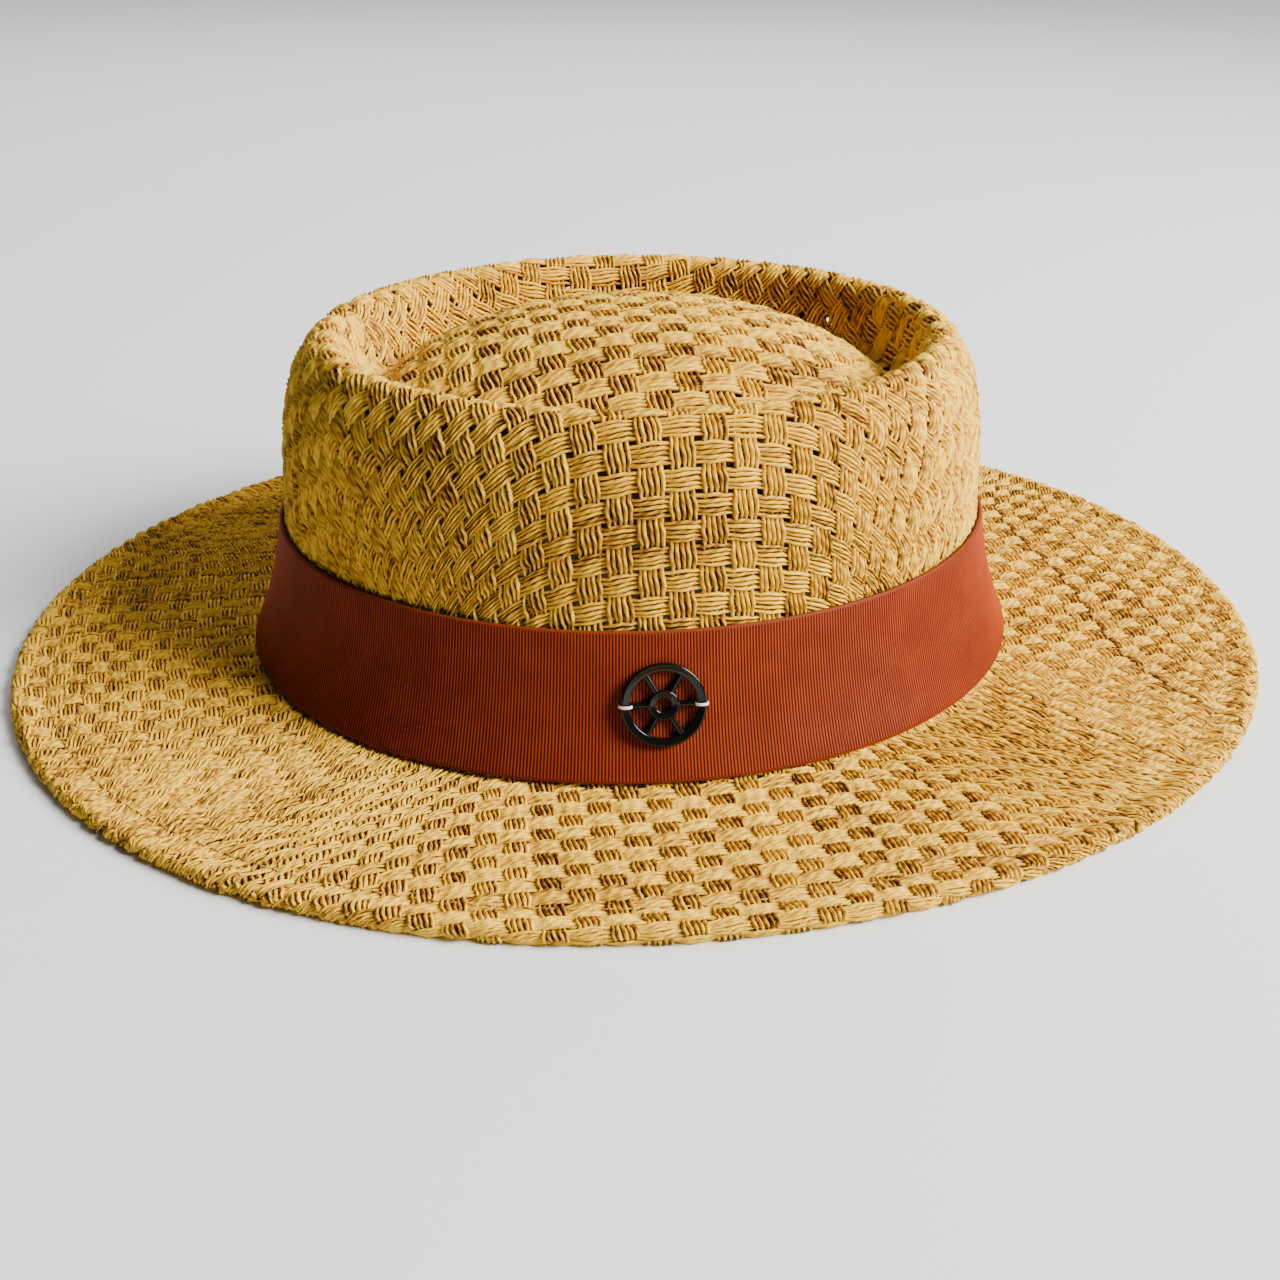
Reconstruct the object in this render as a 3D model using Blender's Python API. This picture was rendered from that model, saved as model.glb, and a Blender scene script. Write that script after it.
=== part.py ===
"""Flat top straw hat: a woven body of crown and brim in one, a ribbon round the crown, and a pierced badge.

Metres, +Z up. X runs along the hat's length, -Y is the side that wears the badge, and the turned hem of
the brim rests on Z = 0. The origin is under the middle of the brim, whose forward and back reaches differ.
Each height is taken from the floor, and each reach is taken square to the crown's oval.
"""

import math

import bmesh
import bpy
from mathutils import Matrix, Vector

# Crown, outside, with its oval taken at the ribbon's upper edge
CROWN_LENGTH = 0.1964
CROWN_WIDTH = 0.1652
CROWN_HEIGHT = 0.0905
CROWN_TAPER_END = 0.0145
CROWN_TAPER_SIDE = 0.0110

# Crease and dome of the crown's top
CREASE_DEPTH = 0.0180
CREASE_INSET = 0.0110
DOME_RISE = 0.0205
DOME_FULLNESS = 2.8

# Brim, from the crown's oval to its edge at the hat's two ends and at its two sides
BRIM_REACH_FORWARD = 0.0835
BRIM_REACH_BACK = 0.0768
BRIM_REACH_SIDE = 0.0655
BRIM_SAG = 0.0008
FOOT_REACH = 0.0050
HEM_WIDTH = 0.0080
HEM_THICKNESS = 0.0040

# Straw
STRAW_WALL = 0.0026

# Ribbon
RIBBON_TOP = 0.0400
RIBBON_FOOT = 0.0006
RIBBON_FLARE = 0.0110
RIBBON_THICKNESS = 0.0009

# Badge
BADGE_DIAMETER = 0.0208
BADGE_THICKNESS = 0.0015
BADGE_RIM_WIDTH = 0.0022
BADGE_HUB_DIAMETER = 0.0076
BADGE_HUB_HOLE = 0.0036
BADGE_SPOKE_WIDTH = 0.0016
BADGE_SPOKES = 6
BADGE_TURN = math.radians(-93.0)
BADGE_LIFT = 0.0008

# Clearance between pieces that touch
SEAT_GAP = 0.0003

# Faces round the oval, and between two spokes of the badge
OVAL_SIDES = 60
BADGE_STEPS = 4

# Dome, as shares of the crease's oval from its middle outwards
DOME_SHARES = (0.0, 0.30, 0.55, 0.75, 0.90)

# Inside of the rim, from the crease up to the crest: shares of CREASE_INSET and of CREASE_DEPTH
INNER_RIM = (
    {"inset": 1.00, "depth": 1.00},
    {"inset": 0.84, "depth": 0.88},
    {"inset": 0.66, "depth": 0.52},
    {"inset": 0.50, "depth": 0.20},
    {"inset": 0.28, "depth": 0.04},
    {"inset": 0.00, "depth": 0.00},
)

# Wall from the crest down to the ribbon: shares of the taper and of the wall's height
OUTER_WALL = (
    {"inset": 0.76, "height": 0.960},
    {"inset": 0.53, "height": 0.87},
    {"inset": 0.34, "height": 0.75},
    {"inset": 0.17, "height": 0.54},
    {"inset": 0.08, "height": 0.28},
)

# Flare of the ribbon: the share of RIBBON_FLARE and of its height at which the bend pulls
FLARE_PULL = {"reach": 0.30, "height": 0.42}
FLARE_STEPS = 5

# Middle of the bend from the flare to the brim: shares of FOOT_REACH and of RIBBON_FOOT
FOOT_BEND = {"reach": 0.45, "height": 0.30}

# Rounded edge of the brim, as shares of its half turn from the upper side to the underside
EDGE_TURNS = (0.0, 0.25, 0.5, 0.75, 1.0)

# Edges sharper than this stay sharp under the smooth shading
SHARP_ANGLE = math.radians(40)

FINISHES = {
    "woven_body": {"colour": (0.62, 0.42, 0.16, 1.0), "roughness": 0.75, "metallic": 0.0},
    "ribbon_band": {"colour": (0.34, 0.06, 0.01, 1.0), "roughness": 0.70, "metallic": 0.0},
    "badge": {"colour": (0.01, 0.01, 0.01, 1.0), "roughness": 0.20, "metallic": 0.6},
}


def mean_radius():
    """Mean radius of the crown's oval at the ribbon's upper edge."""
    return (CROWN_LENGTH + CROWN_WIDTH) / 4


def taper(turn):
    """How far the rim's crest stands in from the crown's oval, at the hat's ends or at its sides."""
    return CROWN_TAPER_SIDE + (CROWN_TAPER_END - CROWN_TAPER_SIDE) * math.cos(turn) ** 2


def crease_radius(turn):
    """Mean radius of the crease between the dome and the rim."""
    return mean_radius() - taper(turn) - CREASE_INSET


def brim_radius(turn):
    """Mean radius of the crown plus the brim's reach, which eases from the ends to the sides."""
    forward = max(0.0, math.cos(turn))
    back = max(0.0, -math.cos(turn))
    reach = BRIM_REACH_SIDE + (BRIM_REACH_FORWARD - BRIM_REACH_SIDE) * forward**2
    reach += (BRIM_REACH_BACK - BRIM_REACH_SIDE) * back**2
    return mean_radius() + reach


def crown_place():
    """Place of the crown's middle along X, which centres the whole hat on the origin."""
    return (BRIM_REACH_BACK - BRIM_REACH_FORWARD) / 2


def oval_point(radius, turn):
    """Plan point at a mean radius: rings run square to the crown's oval, and shrink inside the crease."""
    core = crease_radius(math.pi / 2)
    reach = max(radius, core) - mean_radius()
    x = CROWN_LENGTH / 2 * math.cos(turn)
    y = CROWN_WIDTH / 2 * math.sin(turn)
    outward = oval_normal(turn)
    share = min(1.0, radius / core)
    return Vector((crown_place() + (x + outward.x * reach) * share, (y + outward.y * reach) * share, 0.0))


def oval_normal(turn):
    """Level direction out of the oval."""
    across = Vector((math.cos(turn) / CROWN_LENGTH, math.sin(turn) / CROWN_WIDTH, 0.0))
    return across.normalized()


def bend(start, pull, end, share):
    """Point on the quadratic curve from start to end that leans towards pull."""
    return start.lerp(pull, share).lerp(pull.lerp(end, share), share)


def foot_height():
    """Height of the brim's upper side where the crown rises from it."""
    return HEM_THICKNESS - BRIM_SAG


def dome_profile(turn):
    """Dome from its middle to just inside the crease."""
    low = CROWN_HEIGHT - CREASE_DEPTH
    return [
        Vector((share * crease_radius(turn), low + DOME_RISE * (1 - share**DOME_FULLNESS)))
        for share in DOME_SHARES
    ]


def rim_profile(turn):
    """Crease and inside of the rim, up to its crest."""
    crest = mean_radius() - taper(turn)
    return [
        Vector((crest - CREASE_INSET * row["inset"], CROWN_HEIGHT - CREASE_DEPTH * row["depth"]))
        for row in INNER_RIM
    ]


def wall_profile(turn):
    """Outer wall of the crown between the crest and the ribbon."""
    rise = CROWN_HEIGHT - RIBBON_TOP
    return [
        Vector((mean_radius() - taper(turn) * row["inset"], RIBBON_TOP + rise * row["height"]))
        for row in OUTER_WALL
    ]


def flare_profile():
    """Straw under the ribbon, from its upper edge to its lower edge."""
    start = Vector((mean_radius(), RIBBON_TOP))
    end = Vector((mean_radius() + RIBBON_FLARE, foot_height() + RIBBON_FOOT))
    rise = start.y - end.y
    pull = Vector((start.x + RIBBON_FLARE * FLARE_PULL["reach"], end.y + rise * FLARE_PULL["height"]))
    return [bend(start, pull, end, step / FLARE_STEPS) for step in range(FLARE_STEPS + 1)]


def brim_profile(turn):
    """Upper side of the brim, from the foot of the crown to the hem."""
    foot = mean_radius() + RIBBON_FLARE
    return [
        Vector((foot + FOOT_REACH * FOOT_BEND["reach"], foot_height() + RIBBON_FOOT * FOOT_BEND["height"])),
        Vector((foot + FOOT_REACH, foot_height())),
        Vector((brim_radius(turn) - HEM_WIDTH, HEM_THICKNESS)),
    ]


def hem_profile(turn):
    """Rounded edge of the brim, then the flat underside of the hem that the hat rests on."""
    rounding = HEM_THICKNESS / 2
    centre = brim_radius(turn) - rounding
    edge = [
        Vector((centre + rounding * math.sin(share * math.pi), rounding * (1 + math.cos(share * math.pi))))
        for share in EDGE_TURNS
    ]
    return edge + [Vector((brim_radius(turn) - HEM_WIDTH, 0.0))]


def moved_square(points, distance):
    """The profile moved square to itself, towards the hollow for a positive distance."""
    moved = []
    for index, point in enumerate(points):
        before = points[max(index - 1, 0)]
        after = points[min(index + 1, len(points) - 1)]
        along = (after - before).normalized()
        if point.x == 0.0:
            along = Vector((1.0, 0.0))
        moved.append(point + Vector((along.y, -along.x)) * distance)
    return moved


def skin(mesh, first, second):
    """Faces between two rings of the same number of points, or between a ring and a single point."""
    if len(first) == 1 or len(second) == 1:
        pole, ring = (first[0], second) if len(first) == 1 else (second[0], first)
        for side, corner in enumerate(ring):
            mesh.faces.new((pole, corner, ring[(side + 1) % len(ring)]))
        return
    for side in range(len(first)):
        after = (side + 1) % len(first)
        mesh.faces.new((first[side], first[after], second[after], second[side]))


def turned_solid(name, profile_at, closed):
    """Solid whose profile runs round the oval. An open profile starts and ends on the middle line."""
    mesh = bmesh.new()
    turns = [2 * math.pi * side / OVAL_SIDES for side in range(OVAL_SIDES)]
    profiles = [profile_at(turn) for turn in turns]
    rings = []
    for station, first in enumerate(profiles[0]):
        if first.x == 0.0:
            rings.append([mesh.verts.new((crown_place(), 0.0, first.y))])
            continue
        ring = []
        for turn, profile in zip(turns, profiles):
            corner = oval_point(profile[station].x, turn)
            corner.z = profile[station].y
            ring.append(mesh.verts.new(corner))
        rings.append(ring)
    for first, second in zip(rings, rings[1:]):
        skin(mesh, first, second)
    if closed:
        skin(mesh, rings[-1], rings[0])
    return finished(name, mesh)


def finished(name, mesh):
    """Object of the mesh, with its faces turned out, its own material and smooth shading."""
    bmesh.ops.recalc_face_normals(mesh, faces=mesh.faces)
    data = bpy.data.meshes.new(name)
    mesh.to_mesh(data)
    mesh.free()
    data.shade_smooth()
    data.set_sharp_from_angle(angle=SHARP_ANGLE)
    data.materials.append(material(name))
    piece = bpy.data.objects.new(name, data)
    bpy.context.collection.objects.link(piece)
    return piece


def material(name):
    """Principled material of one piece."""
    finish = FINISHES[name]
    made = bpy.data.materials.new(name)
    made.use_nodes = True
    shader = made.node_tree.nodes["Principled BSDF"]
    shader.inputs["Base Color"].default_value = finish["colour"]
    shader.inputs["Roughness"].default_value = finish["roughness"]
    shader.inputs["Metallic"].default_value = finish["metallic"]
    return made


def body_profile(turn):
    """Closed section of the woven body: its outside from the dome to the hem, then its underside back."""
    crown = dome_profile(turn) + rim_profile(turn) + wall_profile(turn) + flare_profile()
    brim = brim_profile(turn)
    inner_hem = Vector((brim[-1].x - STRAW_WALL / 2, HEM_THICKNESS - STRAW_WALL))
    inner_foot = brim[1] - Vector((0.0, STRAW_WALL))
    hollow = moved_square(crown + brim[:1], STRAW_WALL)
    return crown + brim + hem_profile(turn) + [inner_hem, inner_foot] + hollow[::-1]


def woven_body():
    """Crown and brim, blocked from one piece of woven straw and hollow underneath."""
    return turned_solid("woven_body", body_profile, closed=False)


def ribbon_outside():
    """Outer side of the ribbon, from its upper edge down."""
    return moved_square(flare_profile(), -SEAT_GAP - RIBBON_THICKNESS)


def band_profile(_turn):
    """Closed section of the ribbon, the same all round."""
    inside = moved_square(flare_profile(), -SEAT_GAP)
    return ribbon_outside() + inside[::-1]


def ribbon_band():
    """Ribbon that goes once round the crown and stands on the foot of its flare."""
    return turned_solid("ribbon_band", band_profile, closed=True)


def along_profile(points, distance):
    """Point of a profile at a distance from its first point."""
    for start, end in zip(points, points[1:]):
        length = (end - start).length
        if distance <= length:
            return start.lerp(end, distance / length)
        distance -= length
    return points[-1]


def badge_seat():
    """Matrix that lays the badge near the ribbon's middle, with its upper and lower edges on the ribbon."""
    outside = ribbon_outside()
    height = sum((end - start).length for start, end in zip(outside, outside[1:]))
    top = along_profile(outside, (height - BADGE_DIAMETER) / 2 - BADGE_LIFT)
    bottom = along_profile(outside, (height + BADGE_DIAMETER) / 2 - BADGE_LIFT)
    middle = (top + bottom) / 2
    down = (bottom - top).normalized()
    outward = oval_normal(BADGE_TURN)
    face = outward * -down.y + Vector((0.0, 0.0, down.x))
    up = outward * -down.x + Vector((0.0, 0.0, -down.y))
    centre = oval_point(middle.x, BADGE_TURN) + Vector((0.0, 0.0, middle.y)) + face * SEAT_GAP
    turned = Matrix((up.cross(face), up, face)).transposed().to_4x4()
    return Matrix.Translation(centre) @ turned


def badge_columns(radius):
    """Angles of the badge's grid at a radius: both sides of each spoke, then even steps to the next one."""
    half = math.asin(BADGE_SPOKE_WIDTH / 2 / radius)
    sector = 2 * math.pi / BADGE_SPOKES
    angles = []
    for spoke in range(BADGE_SPOKES):
        start = spoke * sector
        angles.append(start - half)
        angles += [
            start + half + (sector - 2 * half) * step / BADGE_STEPS for step in range(BADGE_STEPS)
        ]
    return angles


def is_metal(band, column):
    """Whether a cell of the badge's grid is metal: hub and ring are whole, and spokes cross between them."""
    if band == 1:
        return column % (BADGE_STEPS + 1) == 0
    return band in (0, 2)


def badge():
    """Pierced badge: a ring, a hub with a hole, and spokes of even width between them."""
    radii = (
        BADGE_HUB_HOLE / 2,
        BADGE_HUB_DIAMETER / 2,
        BADGE_DIAMETER / 2 - BADGE_RIM_WIDTH,
        BADGE_DIAMETER / 2,
    )
    mesh = bmesh.new()
    columns = BADGE_SPOKES * (BADGE_STEPS + 1)
    layers = []
    for height in (0.0, BADGE_THICKNESS):
        grid = []
        for radius in radii:
            angles = badge_columns(radius)
            grid.append(
                [mesh.verts.new((radius * math.cos(a), radius * math.sin(a), height)) for a in angles]
            )
        layers.append(grid)

    for band in range(len(radii) - 1):
        for column in range(columns):
            if not is_metal(band, column):
                continue
            after = (column + 1) % columns
            for grid in layers:
                mesh.faces.new(
                    (grid[band][column], grid[band][after], grid[band + 1][after], grid[band + 1][column])
                )
            sides = (
                (is_metal(band - 1, column), (band, column), (band, after)),
                (is_metal(band + 1, column), (band + 1, column), (band + 1, after)),
                (is_metal(band, column - 1), (band, column), (band + 1, column)),
                (is_metal(band, column + 1), (band, after), (band + 1, after)),
            )
            for covered, (row, first), (next_row, second) in sides:
                if not covered:
                    under, over = layers
                    mesh.faces.new(
                        (under[row][first], under[next_row][second], over[next_row][second], over[row][first])
                    )
    piece = finished("badge", mesh)
    piece.matrix_world = badge_seat()
    return piece


def main():
    for old in list(bpy.data.objects):
        bpy.data.objects.remove(old, do_unlink=True)
    woven_body()
    ribbon_band()
    badge()


main()
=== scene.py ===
"""Looks of the flat top straw hat: its woven straw, its ribbon, the badge, and a plain stage to see it on.

The straw is woven in flat rows and columns and then laid over the blocked form, so it follows the
crown's dome, rim, wall and brim as one cloth: straight along the hat's two axes, sheared between them.
"""
import logging
import math
from dataclasses import dataclass, field
from enum import Enum

import bmesh
import bpy
import numpy as np
from mathutils import Matrix, Vector


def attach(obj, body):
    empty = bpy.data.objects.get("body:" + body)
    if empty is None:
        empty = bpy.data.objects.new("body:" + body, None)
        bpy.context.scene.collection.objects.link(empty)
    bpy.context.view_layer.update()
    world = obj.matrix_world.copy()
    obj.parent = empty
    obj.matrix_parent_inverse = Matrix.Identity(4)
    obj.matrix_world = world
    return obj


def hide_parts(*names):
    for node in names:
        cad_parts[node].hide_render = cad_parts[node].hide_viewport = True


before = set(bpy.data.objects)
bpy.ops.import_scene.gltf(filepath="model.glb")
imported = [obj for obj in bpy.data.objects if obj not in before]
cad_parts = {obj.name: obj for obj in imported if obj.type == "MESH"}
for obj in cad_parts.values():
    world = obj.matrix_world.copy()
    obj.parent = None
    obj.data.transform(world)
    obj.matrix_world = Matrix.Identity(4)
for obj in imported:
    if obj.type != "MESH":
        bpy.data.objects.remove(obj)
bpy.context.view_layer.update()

LOG = logging.getLogger("straw_hat")
MM = 0.001
ROOT = "root"
TINY = 1e-9
FULL_TURN = 2 * math.pi

Colour = tuple[float, float, float, float]
Span = tuple[float, float]


class Run(Enum):
    """The two ways that a strip of straw runs through the weave."""

    WEFT = "weft"
    WARP = "warp"


def run_length(points: np.ndarray) -> np.ndarray:
    """Distance along a line of points, from 0 at its start."""
    return np.concatenate([[0.0], np.cumsum(np.linalg.norm(np.diff(points, axis=0), axis=-1))])


def moved_out(points: np.ndarray, distance: float) -> np.ndarray:
    """A profile of radii and heights, moved outwards square to itself."""
    along = np.gradient(points, axis=0)
    along /= np.linalg.norm(along, axis=-1, keepdims=True)
    return points + np.stack([-along[:, 1], along[:, 0]], axis=-1) * distance


class Nodes:
    """A node tree under construction, with one method that makes any node."""

    def __init__(self, tree: bpy.types.NodeTree) -> None:
        """Keeps the tree."""
        self.tree = tree

    def node(self, kind: str, settings: dict, inputs: dict) -> bpy.types.Node:
        """Adds a node.

        Args:
            kind: the node's type.
            settings: its own settings, set first.
            inputs: values, Sockets or outputs, by socket name or index.

        Returns:
            The node.
        """
        made = self.tree.nodes.new(kind)
        for name, value in settings.items():
            setattr(made, name, value)
        for name, value in inputs.items():
            self.feed(made.inputs[name], value)
        return made

    def feed(self, socket: bpy.types.NodeSocket, value: object) -> None:
        """Links a Socket or an output to an input, or sets the input's value."""
        if isinstance(value, Socket):
            value = value.output
        if isinstance(value, bpy.types.NodeSocket):
            self.tree.links.new(value, socket)
        else:
            socket.default_value = value


class Socket:
    """A shader socket that does maths: an expression on sockets adds its Math nodes."""

    def __init__(self, shader: "Shader", output: bpy.types.NodeSocket) -> None:
        """Keeps the output socket and its shader."""
        self.shader = shader
        self.output = output

    def _math(self, operation: str, *values: object) -> "Socket":
        """One Math node on the values."""
        made = self.shader.node("ShaderNodeMath", {"operation": operation}, dict(enumerate(values)))
        return Socket(self.shader, made.outputs[0])

    def __add__(self, other: object) -> "Socket":
        """Sum."""
        return self._math("ADD", self, other)

    def __mul__(self, other: object) -> "Socket":
        """Product."""
        return self._math("MULTIPLY", self, other)

    def __sub__(self, other: object) -> "Socket":
        """Difference."""
        return self._math("SUBTRACT", self, other)

    def __rsub__(self, other: object) -> "Socket":
        """Difference from a number."""
        return self._math("SUBTRACT", other, self)

    __radd__ = __add__
    __rmul__ = __mul__

    def sine(self) -> "Socket":
        """Sine of the value."""
        return self._math("SINE", self)

    def ramp(self, low: float, high: float) -> "Socket":
        """0 at low, 1 at high, smooth between.

        Args:
            low: value that gives 0.
            high: value that gives 1.

        Returns:
            The share.
        """
        made = self.shader.node(
            "ShaderNodeMapRange",
            {"interpolation_type": "SMOOTHSTEP"},
            {"Value": self, "From Min": low, "From Max": high},
        )
        return Socket(self.shader, made.outputs["Result"])


class Shader(Nodes):
    """A material's node tree."""

    def __init__(self, name: str) -> None:
        """Makes the material, by its name, with a bare Principled shader."""
        self.material = bpy.data.materials.new(name)
        self.material.use_nodes = True
        super().__init__(self.material.node_tree)
        self.principled = self.tree.nodes["Principled BSDF"]

    def set(self, **values: object) -> None:
        """Sets or links the Principled shader's sockets, with _ for a space in their names."""
        for name, value in values.items():
            self.feed(self.principled.inputs[name.replace("_", " ")], value)

    def attribute(self, name: str) -> Socket:
        """A number that the mesh carries."""
        made = self.node("ShaderNodeAttribute", {"attribute_name": name}, {})
        return Socket(self, made.outputs["Fac"])

    def place(self) -> bpy.types.NodeSocket:
        """Object coordinates, in metres."""
        return self.node("ShaderNodeTexCoord", {}, {}).outputs["Object"]

    def noise(self, size: float, detail: float = 2.0, roughness: float = 0.5) -> Socket:
        """Noise on Object coordinates.

        Args:
            size: size of its spots in metres.
            detail: octaves.
            roughness: share of each finer octave.

        Returns:
            The noise, from 0 to 1.
        """
        values = {"Vector": self.place(), "Scale": 1 / size, "Detail": detail, "Roughness": roughness}
        return Socket(self, self.node("ShaderNodeTexNoise", {}, values).outputs["Fac"])

    def mix(self, share: object, first: object, second: object) -> bpy.types.NodeSocket:
        """Colour between two colours.

        Args:
            share: 0 gives the first, 1 the second.
            first: a colour or a socket.
            second: a colour or a socket.

        Returns:
            The mixed colour.
        """
        made = self.node("ShaderNodeMix", {"data_type": "RGBA"}, {"Factor": share, "A": first, "B": second})
        return made.outputs["Result"]

    def bump(self, height: Socket, distance: float) -> None:
        """Feeds a height from 0 to 1 to the shader's normal.

        Args:
            height: the height.
            distance: what a height of 1 stands for, in metres.
        """
        values = {"Height": height, "Distance": distance}
        self.set(Normal=self.node("ShaderNodeBump", {}, values).outputs["Normal"])


@dataclass(frozen=True)
class StrawFinish:
    """Dry twisted straw: each strand has its own tone, and painted shade darkens it to brown in the grooves
    beside it.
    """

    pale: Colour = (0.90, 0.560, 0.040, 1.0)
    golden: Colour = (0.64, 0.320, 0.016, 1.0)
    # brown is the dark end of the straw's tone, and also the painted shade in the grooves between strands
    brown: Colour = (0.13, 0.042, 0.005, 1.0)
    twist: float = 3.4 * MM
    wobble: float = 1.6 * MM
    fibre: float = 0.30 * MM
    patch: float = 30 * MM
    relief: float = 0.20 * MM
    patch_share: float = 0.40
    fibre_share: float = 0.30
    twist_share: float = 0.36
    # Painted shade in the grooves between strands: how much it darkens, and where across a strand it starts
    groove_shade_share: float = 0.64
    groove_shade_span: Span = (0.25, 1.0)
    pale_span: Span = (0.30, 0.85)
    brown_span: Span = (-0.10, 0.50)
    wobble_height: float = 3.0
    twist_height: float = 0.8
    fibre_height: float = 0.4
    roughness: float = 0.66
    specular: float = 0.18

    def make(self) -> bpy.types.Material:
        """Builds the material."""
        shader = Shader("straw")
        across = shader.attribute("around")
        fibre = shader.noise(self.fibre, 3.0)
        turns = shader.attribute("along") * (FULL_TURN / self.twist) + across * FULL_TURN
        twist = (turns + shader.noise(self.wobble) * self.wobble_height).sine() * 0.5 + 0.5
        # Painted shade, 0 along a strand's middle and 1 at its edges, where it meets the next strand
        groove = ((across - 0.5) * (across - 0.5) * 4.0).ramp(*self.groove_shade_span)
        # The carried tone holds each strand's own tone and, on the warp, painted shade where it lies level
        shade = shader.attribute("tone") + (shader.noise(self.patch) - 0.5) * self.patch_share
        shade = shade + (fibre - 0.5) * self.fibre_share + (twist - 0.5) * self.twist_share
        light = shader.mix(shade.ramp(*self.pale_span), self.golden, self.pale)
        # Brown where the tone is low, and painted groove shade at each strand's edges
        tone_and_groove_shade = (shade - groove * self.groove_shade_share).ramp(*self.brown_span)
        colour = shader.mix(tone_and_groove_shade, self.brown, light)
        shader.set(Base_Color=colour, Roughness=self.roughness, Specular_IOR_Level=self.specular)
        shader.bump(twist * self.twist_height + fibre * self.fibre_height, self.relief)
        return shader.material


@dataclass(frozen=True)
class RibbonFinish:
    """Rust grosgrain with a soft sheen, painted shade in the grooves between its ribs, and a slightly lighter
    selvedge.
    """

    cloth: Colour = (0.27, 0.030, 0.004, 1.0)
    worn: Colour = (0.36, 0.050, 0.005, 1.0)
    # Painted shade: the colour of the grooves between the raised ribs
    groove: Colour = (0.03, 0.002, 0.001, 1.0)
    selvedge: Colour = (0.30, 0.048, 0.006, 1.0)
    patch: float = 9 * MM
    thread: float = 0.30 * MM
    relief: float = 0.05 * MM
    rib_shade_span: Span = (0.18, 0.92)
    wear_span: Span = (0.35, 0.70)
    selvedge_share: float = 0.7
    roughness: float = 0.55
    specular: float = 0.09
    sheen: float = 0.06
    sheen_roughness: float = 0.40
    sheen_tint: Colour = (1.0, 0.45, 0.15, 1.0)

    def make(self) -> bpy.types.Material:
        """Builds the material."""
        shader = Shader("ribbon")
        thread = shader.noise(self.thread)
        wear = (shader.noise(self.patch) * 0.5 + thread * 0.5).ramp(*self.wear_span)
        body = shader.mix(wear, self.cloth, self.worn)
        # The grooves between the ribs are painted dark as shade
        ribbed = shader.mix(shader.attribute("rib").ramp(*self.rib_shade_span), self.groove, body)
        colour = shader.mix(shader.attribute("selvedge") * self.selvedge_share, ribbed, self.selvedge)
        shader.set(Base_Color=colour, Roughness=self.roughness, Specular_IOR_Level=self.specular)
        shader.set(
            Sheen_Weight=self.sheen, Sheen_Roughness=self.sheen_roughness, Sheen_Tint=self.sheen_tint
        )
        shader.bump(thread, self.relief)
        return shader.material


@dataclass(frozen=True)
class EnamelFinish:
    """Gloss black enamel on the badge, faintly orange-peeled."""

    colour: Colour = (0.003, 0.003, 0.003, 1.0)
    roughness: float = 0.13
    specular: float = 0.30
    peel: float = 1.5 * MM
    relief: float = 0.02 * MM

    def make(self) -> bpy.types.Material:
        """Builds the material."""
        shader = Shader("badge_enamel")
        shader.set(Base_Color=self.colour, Roughness=self.roughness, Specular_IOR_Level=self.specular)
        shader.bump(shader.noise(self.peel), self.relief)
        return shader.material


@dataclass(frozen=True)
class ThreadFinish:
    """Plain sewing thread."""

    name: str
    colour: Colour
    roughness: float = 0.6
    fibre: float = 0.25 * MM
    relief: float = 0.03 * MM

    def make(self) -> bpy.types.Material:
        """Builds the material."""
        shader = Shader(self.name)
        shader.set(Base_Color=self.colour, Roughness=self.roughness)
        shader.bump(shader.noise(self.fibre), self.relief)
        return shader.material


class Tree(Nodes):
    """A Geometry Nodes tree, with named inputs."""

    def __init__(self, name: str, inputs: dict[str, float]) -> None:
        """Makes the tree with its geometry sockets and named number inputs.

        Args:
            name: the tree's name.
            inputs: each input's name and first value.
        """
        super().__init__(bpy.data.node_groups.new(name, "GeometryNodeTree"))
        face = self.tree.interface
        face.new_socket("Geometry", in_out="INPUT", socket_type="NodeSocketGeometry")
        self.identifiers: dict[str, str] = {}
        for label, value in inputs.items():
            socket = face.new_socket(label, in_out="INPUT", socket_type="NodeSocketFloat")
            socket.default_value = value
            self.identifiers[label] = socket.identifier
        face.new_socket("Geometry", in_out="OUTPUT", socket_type="NodeSocketGeometry")
        self.entry = self.tree.nodes.new("NodeGroupInput").outputs
        self.exit = self.tree.nodes.new("NodeGroupOutput").inputs

    def out(self, kind: str, settings: dict, inputs: dict) -> bpy.types.NodeSocket:
        """Adds a node and returns its first output."""
        return self.node(kind, settings, inputs).outputs[0]

    def named(self, attribute: str, kind: str) -> bpy.types.NodeSocket:
        """A carried attribute as a field."""
        return self.out("GeometryNodeInputNamedAttribute", {"data_type": kind}, {"Name": attribute})

    def product(self, first: object, second: object) -> bpy.types.NodeSocket:
        """Product of two number fields."""
        return self.out("ShaderNodeMath", {"operation": "MULTIPLY"}, {0: first, 1: second})

    def finish(self, geometry: bpy.types.NodeSocket, dressed: bpy.types.Material) -> None:
        """Ends the tree in Realize Instances and Set Material."""
        real = self.out("GeometryNodeRealizeInstances", {}, {"Geometry": geometry})
        made = self.out("GeometryNodeSetMaterial", {}, {"Geometry": real, "Material": dressed})
        self.feed(self.exit["Geometry"], made)

    def applied(self, piece: bpy.types.Object, values: dict[str, float]) -> bpy.types.Object:
        """Runs the tree on a piece and leaves the result as its plain mesh.

        Args:
            piece: the object whose mesh goes in.
            values: the named inputs' values.

        Returns:
            The same object.
        """
        modifier = piece.modifiers.new(self.tree.name, "NODES")
        modifier.node_group = self.tree
        for label, value in values.items():
            modifier[self.identifiers[label]] = value
        seen = piece.evaluated_get(bpy.context.evaluated_depsgraph_get())
        plain = bpy.data.meshes.new_from_object(seen)
        piece.modifiers.remove(modifier)
        old = piece.data
        piece.data = plain
        plain.name = piece.name
        bpy.data.meshes.remove(old)
        return piece


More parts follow.
